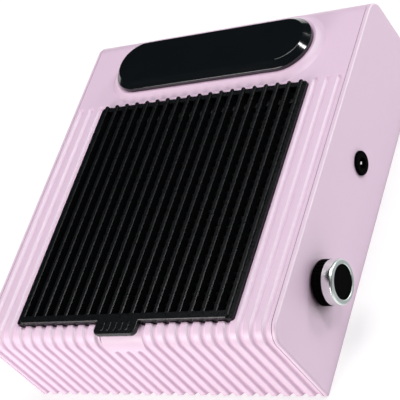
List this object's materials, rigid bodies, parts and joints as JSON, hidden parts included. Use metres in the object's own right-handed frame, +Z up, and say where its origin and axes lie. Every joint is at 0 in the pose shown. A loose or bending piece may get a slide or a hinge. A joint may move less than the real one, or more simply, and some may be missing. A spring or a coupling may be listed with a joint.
{
  "type": "nail dust collector",
  "caption": "Low desktop dust collector with a ribbed housing, a lift-up slatted intake grille over a pleated filter, an oval hand rest, a side speed knob and a rear exhaust.",
  "frame": {"origin": "on the table, under the middle of the box that holds the whole object, knob included", "axes": "+Z up, +Y from the finger tab at the front towards the hand rest and exhaust at the back, +X towards the side with the knob and the power inlet"},
  "size_m": [0.2134, 0.224, 0.0715],
  "materials": {
    "housing_pink": "satin moulded ABS, light lilac pink",
    "black_moulding": "fine satin moulded ABS",
    "hand_rest_gloss": "polished black",
    "matt_black": "matt black",
    "knob_chrome": "bright plated",
    "inner_moulding": "plain moulded ABS",
    "impeller_moulding": "moulded nylon",
    "filter_frame": "moulded polypropylene, dark",
    "filter_sheet": "pleated non-woven filter sheet, dark",
    "seal_foam": "closed-cell foam",
    "foot_rubber": "moulded rubber",
    "screw_steel": "zinc plated",
    "turned_steel": "machined",
    "plated_metal": "nickel plated",
    "laminated_iron": "stacked laminations",
    "magnet": "bonded ferrite",
    "copper_wire": "enamelled copper",
    "circuit_board": "green solder mask",
    "component_aluminium": "plain aluminium",
    "component_black": "moulded epoxy",
    "lead_sheath": "flexible PVC sheath"
  },
  "bodies": {
    "housing": {"wrap_shell": "housing_pink", "left_side_cover": "housing_pink", "right_side_cover": "housing_pink", "exhaust_grille": "black_moulding", "base_plate": "black_moulding", "hand_rest": "hand_rest_gloss", "jack_body": "matt_black", "filter_tray": "inner_moulding", "fan_scroll": "inner_moulding", "fan_inlet_plate": "inner_moulding", "motor_base": "inner_moulding", "board_connectors": "inner_moulding", "filter_frame": "filter_frame", "filter_media": "filter_sheet", "filter_seal": "seal_foam", "foot_front_left": "foot_rubber", "foot_front_right": "foot_rubber", "foot_rear_left": "foot_rubber", "foot_rear_right": "foot_rubber", "base_screws": "screw_steel", "cover_screws": "screw_steel", "hand_rest_screws": "screw_steel", "tray_screws": "screw_steel", "fan_screws": "screw_steel", "motor_screws": "screw_steel", "board_screws": "screw_steel", "lower_bearing": "turned_steel", "upper_bearing": "turned_steel", "pot_body": "turned_steel", "pot_nut": "plated_metal", "pot_washer": "plated_metal", "jack_nut": "plated_metal", "jack_pin": "plated_metal", "stator_core": "laminated_iron", "stator_windings": "copper_wire", "control_board": "circuit_board", "motor_board": "circuit_board", "board_capacitors": "component_aluminium", "heat_sink": "component_aluminium", "board_driver": "component_black", "jack_lead": "lead_sheath", "pot_lead": "lead_sheath", "motor_lead": "lead_sheath"},
    "grille": {"grille_cover": "black_moulding"},
    "knob": {"knob_skirt": "matt_black", "knob_ring": "knob_chrome", "knob_insert": "matt_black", "pot_shaft": "turned_steel"},
    "rotor": {"impeller": "impeller_moulding", "rotor_cup": "turned_steel", "rotor_magnet": "magnet", "motor_shaft": "turned_steel", "shaft_clip": "turned_steel"}
  },
  "joints": [
    {"name": "grille_hinge", "type": "hinge", "parent": "housing", "child": "grille", "pos_m": [-0.00665, 0.0536, 0.0633], "axis": [-1, 0, 0], "range_deg": [0, 95]},
    {"name": "knob_turn", "type": "hinge", "parent": "housing", "child": "knob", "pos_m": [0.09935, -0.0635, 0.0346], "axis": [-1, 0, 0], "range_deg": [0, 280]},
    {"name": "impeller_spin", "type": "hinge", "parent": "housing", "child": "rotor", "pos_m": [-0.01865, -0.024, 0.02], "axis": [0, 0, 1], "continuous": true}
  ]
}
